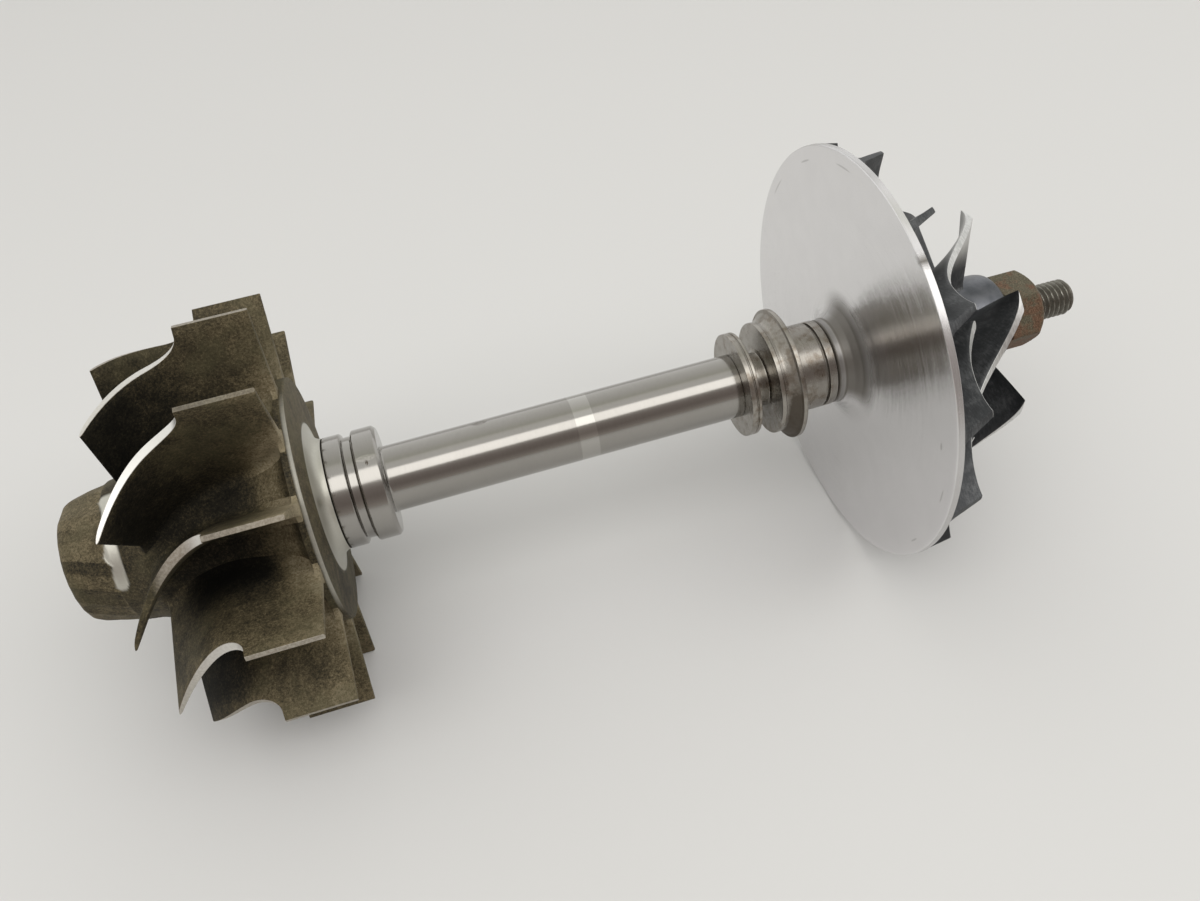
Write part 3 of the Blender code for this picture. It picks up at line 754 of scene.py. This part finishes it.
def make_turbine_body(cast):
    """Hub casting: weld face, ground fillet and disc, then the flare that carries the blades, and
    the nose with its step, flats and hollow end."""
    reach = TURBINE_DISC_X[0] - TURBINE_EXIT_X
    stations = TURBINE_DISC_X[0] - reach * np.linspace(0.0, 1.0, 40) ** 1.6
    flare = np.stack([stations, turbine_hub_curve(stations)], axis=-1)
    sweep = np.radians(np.linspace(0.0, 90.0, 10))
    fillet_x = WELD_X - 0.3 + (TURBINE_FACE_X - WELD_X + 0.3) * np.sin(sweep)
    fillet_r = TURBINE_FACE_R - (TURBINE_FACE_R - COLLAR_R) * np.cos(sweep)
    back = softened([(WELD_X, 0.0), (WELD_X, COLLAR_R - 0.6), (WELD_X - 0.1, COLLAR_R - 0.1),
                     *zip(fillet_x, fillet_r), (TURBINE_DISC_X[1] + 0.05, TURBINE_DISC_R - 0.9),
                     (TURBINE_DISC_X[1], TURBINE_DISC_R - 0.25),
                     (TURBINE_DISC_X[1] - 0.25, TURBINE_DISC_R),
                     (TURBINE_DISC_X[0] + 0.2, TURBINE_DISC_R)], 0.4)
    nose = softened([(TURBINE_EXIT_X - 0.3, TURBINE_HUB_EXIT_R - 0.05), (-60.2, 18.2),
                     (NOSE_STEP_X + 0.1, 17.6), (-68.2, 16.8), (NOSE_X + 2.0, NOSE_R),
                     (NOSE_X + 0.7, NOSE_R - 0.8), (NOSE_X, NOSE_FACE_R), (NOSE_X, 4.5),
                     (NOSE_X + 1.9, 2.6), (NOSE_X + 3.4, 0.0)], 0.8)
    profile = np.concatenate([spaced(back, 1.2), flare, spaced(nose, 0.4)])
    turned("turbine_body", profile, WHEEL_STEPS, cast, ["turbine_hub"],
           nose_flats, hub_marks)


def make_turbine_blades(cast):
    """Twelve blades on one pattern, each from a line just inside the hub to the blade's edge."""
    edge = turbine_edge(90)
    run = run_along(edge)
    root_x = (TURBINE_EXIT_X + (TURBINE_INLET_X[1] - TURBINE_EXIT_X) * run / run[-1])[:, None]
    root = np.concatenate([root_x, turbine_hub_curve(root_x) - 0.25], axis=1)
    reach = TURBINE_INLET_X[0] - TURBINE_EXIT_X
    exit_share = np.clip((TURBINE_INLET_X[0] - edge[:, :1]) / reach, 0.0, 1.0)
    swell = TURBINE_SHROUD_T - 0.5 * (TURBINE_INLET_T + TURBINE_EXIT_T)
    early = np.sqrt(exit_share)
    outer = TURBINE_INLET_T * (1.0 - exit_share) + TURBINE_EXIT_T * exit_share \
        + 4.0 * swell * early * (1.0 - early)

    def thickness_at(up):
        """Thin at inlet and exit tip, thickest a quarter along the exit side, thicker at the root."""
        return outer + (TURBINE_ROOT_T - outer) * (1.0 - up)

    for number in range(TURBINE_BLADES):
        middle = TURBINE_BLADE_ANGLE + 360.0 / TURBINE_BLADES * number
        look = {**BLADE_LOOK, **BLADE_LOOKS.get(number, {})}

        def angle_at(x, radius, up):
            """Parabola that wraps towards the exit; its slope gives the slant."""
            share = np.clip((TURBINE_INLET_X[0] - x) / reach, 0.0, None)
            slope = 2.0 * np.radians(TURBINE_WRAP) * share / reach
            return middle - TURBINE_WRAP * share ** 2, np.sqrt(1.0 + (slope * radius) ** 2)

        def marks_at(x, radius, share, up, cut):
            """The shroud edge is bare metal, brighter on the blades that face the camera as a painted
            highlight, the inlet edge duller; soot towards the exit, painted shade low in the middle of the
            blade where the blade beside it shades it, a paler skin near the back edge and low down."""
            inlet = smooth(TURBINE_TIP_R - 0.6, TURBINE_TIP_R - 0.1, radius)
            exit_side = np.clip((TURBINE_INLET_X[0] - x) / reach, 0.0, 1.0)
            # Bare shroud edge, with a painted highlight where the shroud share is raised
            shine = look["shroud"] - look["fade"] * exit_side
            back = look["back"] * smooth(-30.0, TURBINE_INLET_X[1], x)
            soot = look["soot"] * smooth(0.0, 0.75, exit_side) * (1.0 - 0.35 * smooth(0.8, 1.0, up))
            # Painted shade low in the middle of the blade, where the blade beside it shades it
            root = smooth(0.55, 0.10, up) * smooth(-23.0, -31.0, x) * smooth(-52.0, -43.0, x)
            foot = look["foot"] * smooth(0.55, 0.15, up) * smooth(-33.0, -24.0, x)
            pale = look["skin"] + back + foot + 0.12 * smooth(0.7, 1.0, up)
            return {"cut": cut * (shine + (look["inlet"] - shine) * inlet), "ground": np.zeros_like(up),
                    "soot": np.clip(soot + look["root_shade"] * root, 0.0, 1.0),
                    "pale": np.clip(pale, 0.0, 1.0)}

        blade(f"turbine_blade_cast_{number + 1:02d}", root, edge, angle_at, thickness_at,
              TURBINE_FILLET, TURBINE_ENDS, cast,
              [f"turbine_blade_{number + 1:02d}"], marks_at)


def turbine_edge(count):
    """Blade edge: exit tip, straight shroud, round notch, straight inlet, back corner."""
    notch_x, drop = TURBINE_NOTCH
    start = TURBINE_INLET_X[0] - 0.2
    sweep = np.radians(np.linspace(90.0, 0.0, 16))
    notch = np.stack([start - notch_x * (1.0 - np.cos(sweep)),
                      TURBINE_EXIT_R + drop * (1.0 - np.sin(sweep))], axis=-1)
    inlet = [(x, TURBINE_TIP_R) for x in TURBINE_INLET_X]
    path = np.concatenate([[(TURBINE_EXIT_X, TURBINE_EXIT_R)], notch, inlet])
    run = run_along(path)
    grown = 1.0 - np.cos(np.radians([0.0, 20.0, 40.0, 60.0, 80.0]))
    inner = np.linspace(1.0, run[-1] - 0.5, count - 10)
    corners = run[-3:-1]
    inner = inner[np.abs(inner[:, None] - corners[None, :]).min(axis=1) > 0.15]
    return at_run(np.sort(np.concatenate([0.9 * grown, inner, corners, run[-1] - 0.3 * grown])), run, path)


# Thrust collar and flinger

def collar_marks(x, radius, angle):
    """Painted shade as dark rings in the corners round the neck, and darker on the lower side behind the
    thin disc.
    """
    low = smooth(0.2, 1.0, -np.sin(np.radians(angle + 25.0)))
    # Painted shade: a dark ring where the neck meets the discs
    neck = smooth(THRUST_NECK_R + 1.6, THRUST_NECK_R, radius)
    return {"dirt": np.clip(0.08 * neck + 0.40 * low * (x > THRUST_X[1]), 0.0, 1.0)}


def make_thrust_collar(steel):
    """Spool turned in one: thin disc with a line round its edge, neck and thicker back disc."""
    left, right = THRUST_X
    back_left, back_right = THRUST_BACK_X
    outline = [(back_right + 0.1, STUB_R), (back_right + 0.1, THRUST_BACK_R), (back_left, THRUST_BACK_R),
               (back_left, THRUST_NECK_R + 1.0), (back_left - 0.25, THRUST_NECK_R),
               (right + 0.25, THRUST_NECK_R), (right, THRUST_NECK_R + 0.3), (right, THRUST_R),
               (right - 0.75, THRUST_R), (right - 0.85, THRUST_R - 0.35), (right - 1.15, THRUST_R - 0.35),
               (right - 1.25, THRUST_R), (left, THRUST_R), (left, STUB_R)]
    profile = spaced(softened(outline, 0.16), 0.6)
    profile = np.concatenate([profile, profile[:1]])
    turned("thrust_spool", profile, SMALL_STEPS, steel, ["thrust_collar"],
           None, collar_marks)


def flinger_marks(x, radius, angle):
    """Darker over the flare and towards the bottom from the back disc to the lip; burnt oil against the lip
    and in the seal groove.
    """
    low = smooth(-0.1, 0.7, -np.sin(np.radians(angle + 10.0)))
    start = THRUST_BACK_X[1]
    lip_left, lip_right = FLINGER_LIP_X
    flare = (x < lip_left + 0.1) * smooth(lip_left - 3.4, lip_left - 1.5, x)
    corner = smooth(lip_right + 2.6, lip_right + 0.2, x) * smooth(SLEEVE_R + 2.0, SLEEVE_R, radius)
    groove = smooth(SEAL_GROOVE_R + 1.0, SEAL_GROOVE_R + 0.2, radius)
    face = 0.5 * low * smooth(start, start + 0.3, x) * (x < lip_left)
    dirt = flare * (0.30 + 0.70 * low) + face + 0.6 * corner * (x > lip_right) + 0.35 * groove
    return {"dirt": np.clip(dirt, 0.0, 1.0)}


def make_flinger(steel):
    """Flare that ends in a lip, and the sleeve behind it with its seal groove, turned in one."""
    start = THRUST_BACK_X[1] + 0.1
    lip_left, lip_right = FLINGER_LIP_X
    outline = [(SLEEVE_END_X + 0.1, STUB_R), (SLEEVE_END_X + 0.1, SLEEVE_R - 0.7),
               (SLEEVE_END_X - 0.35, SLEEVE_R - 0.05),
               (SEAL_GROOVE_X[1], SLEEVE_R), (SEAL_GROOVE_X[1], SEAL_GROOVE_R),
               (SEAL_GROOVE_X[0], SEAL_GROOVE_R), (SEAL_GROOVE_X[0], SLEEVE_R),
               (lip_right + 0.5, SLEEVE_R), (lip_right, SLEEVE_R + 0.6), (lip_right, FLINGER_R),
               (lip_left, FLINGER_R), (lip_left - 0.15, FLINGER_R - 0.9), (lip_left - 1.2, FLINGER_R - 1.75),
               (start + 0.9, THRUST_BACK_R - 0.15), (start, THRUST_BACK_R), (start, STUB_R)]
    profile = spaced(softened(outline, 0.2), 0.5)
    profile = np.concatenate([profile, profile[:1]])
    turned("flinger_turned", profile, SMALL_STEPS, steel, ["flinger_sleeve"],
           None, flinger_marks)


# Compressor

def meridian(start, end, share, rise=1.0, advance=1.0):
    """From axial to radial flow: a quarter ellipse between two (x, radius) points, its bend
    sharpened by powers on its rise and its advance."""
    lean = 0.5 * np.pi * share
    return np.stack([start[0] + (end[0] - start[0]) * np.sin(lean) ** advance,
                     start[1] + (end[1] - start[1]) * (1.0 - np.cos(lean)) ** rise], axis=-1)


# The round rim stays inside the faceted one of the CAD; the flare starts at the inducer
RIM_R = COMPRESSOR_R * math.cos(math.pi / RIM_STEPS)
FLARE_START = (INDUCER_X, COMPRESSOR_HUB_R + 0.4)


def compressor_marks(x, radius, angle):
    """A rust spot on the rim, a dark joint and a dull ring at the boss, grime and painted shade in the
    back's fillet, painted shade on the rim outside a window left bright as a painted highlight.
    """
    turn = wrapped(angle)
    spot = np.exp(-((turn - 16.0) / 1.3) ** 2) * smooth(COMPRESSOR_R - 1.2, COMPRESSOR_R - 0.3, radius)
    boss = smooth(SLEEVE_END_X + 0.7, SLEEVE_END_X + 0.4, x) * 0.5 \
        + 0.75 * smooth(COMPRESSOR_BOSS_R + 0.4, COMPRESSOR_BOSS_R + 0.1, radius)
    back = smooth(COMPRESSOR_RIM_X[0] + 0.3, COMPRESSOR_RIM_X[0], x)
    # Painted shade with some grime in the back's fillet, strongest on the camera's side
    facing = smooth(-75.0, -45.0, turn) * smooth(95.0, 50.0, turn)
    fillet = smooth(20.0, 14.5, radius) * smooth(11.5, 11.7, radius) * (0.15 + 0.80 * facing)
    # Painted shade on the rim's outer faces, left out from 12 to 44 degrees, where the rim stays bright as a
    # painted highlight
    bright = smooth(12.0, 20.0, turn) * smooth(44.0, 36.0, turn)
    rim = smooth(COMPRESSOR_R - 0.9, COMPRESSOR_R - 0.6, radius) * (1.0 - back) * (0.36 - 0.36 * bright)
    return {"dirt": np.clip(0.8 * spot + rim + (boss + fillet) * back, 0.0, 1.0)}


def make_compressor(face, bladed):
    """Hub turned from the nose over the flare and the rim to the back's fillet and boss, and
    its blades."""
    boss_start = SLEEVE_END_X + 0.15
    rim_back, rim_front = COMPRESSOR_RIM_X
    share = np.linspace(0.0, 1.0, 60)
    flare = meridian(FLARE_START, (rim_front, RIM_R - 0.1), share)
    nose = softened([(COMPRESSOR_NOSE_X + 0.1, STUB_R),
                     (COMPRESSOR_NOSE_X + 0.1, COMPRESSOR_HUB_R - 1.5),
                     (COMPRESSOR_NOSE_X - 0.9, COMPRESSOR_HUB_R - 0.4),
                     (COMPRESSOR_NOSE_X - 2.4, COMPRESSOR_HUB_R),
                     (INDUCER_X + 1.0, COMPRESSOR_HUB_R + 0.35)], 0.6)
    back = softened([(rim_front - 0.1, RIM_R), (rim_back + 0.3, RIM_R), (rim_back, RIM_R - 0.3),
                     (rim_back, 30.0), (rim_back - 0.08, 19.0), (rim_back - 0.5, 16.6),
                     (rim_back - 1.3, 14.6), (rim_back - 2.7, 12.8), (rim_back - 4.2, 11.75),
                     (boss_start + 1.5, COMPRESSOR_BOSS_R), (boss_start + 0.25, COMPRESSOR_BOSS_R),
                     (boss_start - 0.05, COMPRESSOR_BOSS_R - 0.5), (boss_start - 0.05, STUB_R)], 0.25)
    profile = np.concatenate([spaced(nose, 0.8), flare, spaced(back, 1.0)])
    profile = np.concatenate([profile, profile[:1]])
    turned("compressor_body", profile, WHEEL_STEPS, face, ["compressor_hub"],
           None, compressor_marks)
    for number in range(MAIN_BLADES):
        compressor_blade(f"compressor_blade_milled_{number + 1}", f"compressor_blade_{number + 1}",
                         number, 0.0, bladed)
        compressor_blade(f"splitter_blade_milled_{number + 1}", f"splitter_blade_{number + 1}",
                         number + 0.5, SPLITTER_START, bladed)


def compressor_blade(name, node, number, start, bladed):
    """Ruled blade from the hub line to the shroud line, wrapped round the hub by a power law."""
    inner = np.linspace(start, 1.0, 56)[1:-1]
    lead = start + 0.02 * (1.0 - np.cos(np.radians([0.0, 25.0, 50.0, 75.0])))
    trail = 1.0 - 0.004 * np.array([1.0, 0.4, 0.0])
    share = np.unique(np.concatenate([lead, inner[inner > start + 0.02], trail]))
    hub = meridian(FLARE_START, (COMPRESSOR_RIM_X[1], RIM_R), share)
    sunk = np.stack([share, 1.0 - share], axis=-1)
    root = hub - 0.3 * sunk
    edge = meridian((INDUCER_X, INDUCER_R), (EXDUCER_X, EXDUCER_R), share, EDGE_RISE, EDGE_ADVANCE)
    wrap = COMPRESSOR_WRAP * (1.0 - (1.0 - share) ** WRAP_POWER)
    path = np.hypot(np.gradient(edge[:, 0], share), np.gradient(edge[:, 1], share))
    slope = (np.gradient(np.radians(wrap), share) / path)[:, None]
    middle = INDUCER_ANGLE + 360.0 / MAIN_BLADES * number - wrap[:, None]

    def angle_at(x, radius, up):
        """Wrapped angle, raked back at the exit's foot; the slant follows the wrap."""
        return middle - EXIT_RAKE * share[:, None] ** 2 * (1.0 - up), np.sqrt(1.0 + (slope * radius) ** 2)

    def thickness_at(up):
        """Even taper from the root to the edge."""
        return COMPRESSOR_ROOT_T + (COMPRESSOR_EDGE_T - COMPRESSOR_ROOT_T) * up

    def marks_at(x, radius, share, up, cut):
        """The second blade's front corner carries a painted highlight, pale where the others are dark."""
        painted_highlight = smooth(0.55, 0.20, share) * smooth(0.30, 0.75, up) * (number == 1)
        return {"pale": painted_highlight}

    blade(name, root, edge, angle_at, thickness_at, COMPRESSOR_FILLET, COMPRESSOR_ENDS,
          bladed, [node], marks_at)


# Nut

def nut_relief(x, radius, angle):
    """Takes the round blank down to a hexagon, its corners worn by a soft limit on their radius,
    with chamfered ends."""
    turn = np.radians((angle - NUT_CORNER_ANGLE) % 60.0 - 30.0)
    hexagon = 0.5 * NUT_FLATS / np.cos(turn)
    worn = NUT_CORNER_R - 0.1
    hexagon = worn - np.logaddexp(0.0, (worn - hexagon) * 10.0) / 10.0
    rise = (NUT_CORNER_R - NUT_FACE_R) / NUT_CHAMFER
    front = NUT_FACE_R + rise * (NUT_X[1] - x)
    behind = NUT_FACE_R + 2.0 * rise * (x - NUT_X[0])
    shape = np.minimum(hexagon, np.minimum(front, behind))
    return np.where(radius > NUT_BORE_R + 0.1, np.maximum(radius - shape, 0.0), 0.0)


def make_nut(rust):
    """Round blank with two flat faces and a bore; the relief cuts the hexagon."""
    left, right = NUT_X
    rows = np.linspace(right, left, 46)
    side = np.stack([rows, np.full_like(rows, NUT_CORNER_R)], axis=-1)
    bore = [(right, STUB_R - 0.1), (right, NUT_BORE_R)]
    profile = np.concatenate([bore, side, [(left, NUT_BORE_R), (left, STUB_R - 0.1)], bore[:1]])
    turned("nut_rusty", profile, NUT_STEPS, rust, ["lock_nut"], nut_relief)


# Stage, light and camera

def make_stage():
    """Plain pale floor at z = 0."""
    mesh = bpy.data.meshes.new("studio_floor")
    corners = [(FLOOR_REACH * x, FLOOR_REACH * y, 0.0) for x, y in ((-1, -1), (1, -1), (1, 1), (-1, 1))]
    mesh.from_pydata(corners, [], [(0, 1, 2, 3)])
    floor = bpy.data.objects.new("studio_floor", mesh)
    finish = Finish("studio_floor")
    tone = finish.noise(finish.node("ShaderNodeTexCoord", out="Object"), 3.0, 2.0)
    paint = finish.mix(tone, (0.65, 0.65, 0.645), (0.67, 0.67, 0.665))
    floor.data.materials.append(finish.done(paint, 0.9 + tone * 0.05, 0.0))
    bpy.context.scene.collection.objects.link(floor)


def make_lamp():
    """Soft rectangular lamp turned to its target, its long side along the rotor."""
    light = bpy.data.lights.new("overhead_window", "AREA")
    light.shape = "RECTANGLE"
    light.size, light.size_y = LAMP_SIZE
    light.energy = LAMP_POWER
    light.color = LAMP_COLOUR
    item = bpy.data.objects.new("overhead_window", light)
    away = np.array(LAMP_PLACE) - np.array(LAMP_TARGET)
    back = away / np.linalg.norm(away)
    up = np.cross(back, [1.0, 0.0, 0.0])
    up /= np.linalg.norm(up)
    columns = np.stack([np.cross(up, back), up, back], axis=-1)
    item.matrix_world = Matrix.Translation(LAMP_PLACE) @ Matrix(columns.tolist()).to_4x4()
    bpy.context.scene.collection.objects.link(item)


def make_world():
    """Plain room: dim and warm low down on the camera's side, paler overhead and behind."""
    world = bpy.data.worlds.new("studio_room")
    bpy.context.scene.world = world
    world.use_nodes = True
    room = Shading(world.node_tree)
    y, z = room.parts(room.node("ShaderNodeTexCoord", out="Generated"))[1:]
    turn = z.math("ARCTAN2", z, 0.0 - y) / math.pi
    seen = room.ramp(turn, [(0.0, (0.52, 0.48, 0.44)), (0.05, (0.38, 0.335, 0.31)),
                            (0.12, (0.28, 0.24, 0.22)), (0.21, (0.34, 0.295, 0.275)),
                            (0.27, (0.52, 0.48, 0.45)), (0.30, (0.93, 0.92, 0.90)),
                            (0.52, (1.0, 0.99, 0.96)), (0.56, (0.98, 0.97, 0.92)),
                            (0.60, (0.72, 0.72, 0.65)), (0.72, (0.88, 0.87, 0.84)),
                            (0.85, (1.02, 1.02, 1.00)), (1.0, (1.15, 1.15, 1.14))])
    camera_ray = room.node("ShaderNodeLightPath", out="Is Camera Ray")
    colour = room.mix(camera_ray, seen, (0.90, 0.90, 0.90))
    background = room.node("ShaderNodeBackground", {}, {"Color": colour, "Strength": 1.0})
    room.node("ShaderNodeOutputWorld", {}, {"Surface": background})


def make_camera():
    """Camera at the photograph's eye point: yaw and pitch from the rotor's axis, then roll."""
    ahead = np.array([math.sin(VIEW_YAW) * math.cos(VIEW_PITCH),
                      math.cos(VIEW_YAW) * math.cos(VIEW_PITCH), math.sin(VIEW_PITCH)])
    level = np.cross(ahead, [0.0, 0.0, 1.0])
    level /= np.linalg.norm(level)
    above = np.cross(level, ahead)
    right = math.cos(VIEW_ROLL) * level + math.sin(VIEW_ROLL) * above
    up = -math.sin(VIEW_ROLL) * level + math.cos(VIEW_ROLL) * above
    camera = bpy.data.cameras.new("photo_camera")
    camera.sensor_fit = "HORIZONTAL"
    camera.sensor_width = SENSOR_MM
    camera.lens = FOCAL_SHARE * SENSOR_MM
    camera.clip_start = 0.01
    camera.clip_end = 50.0
    item = bpy.data.objects.new("photo_camera", camera)
    columns = TURN @ np.stack([right, up, -ahead], axis=-1)
    eye = (TURN @ np.array(EYE) + SHIFT) * MM
    item.matrix_world = Matrix.Translation(eye.tolist()) @ Matrix(columns.tolist()).to_4x4()
    bpy.context.scene.collection.objects.link(item)
    bpy.context.scene.camera = item


def main():
    make_camera()
    make_stage()
    make_world()
    make_lamp()
    make_shaft(ground_steel())
    cast = cast_alloy()
    make_turbine_body(cast)
    make_turbine_blades(cast)
    stained = stained_shaded_steel()
    make_thrust_collar(stained)
    make_flinger(stained)
    make_compressor(milled_face(), milled_blade())
    make_nut(rusted())


main()
bpy.context.scene.view_settings.view_transform = "Standard"
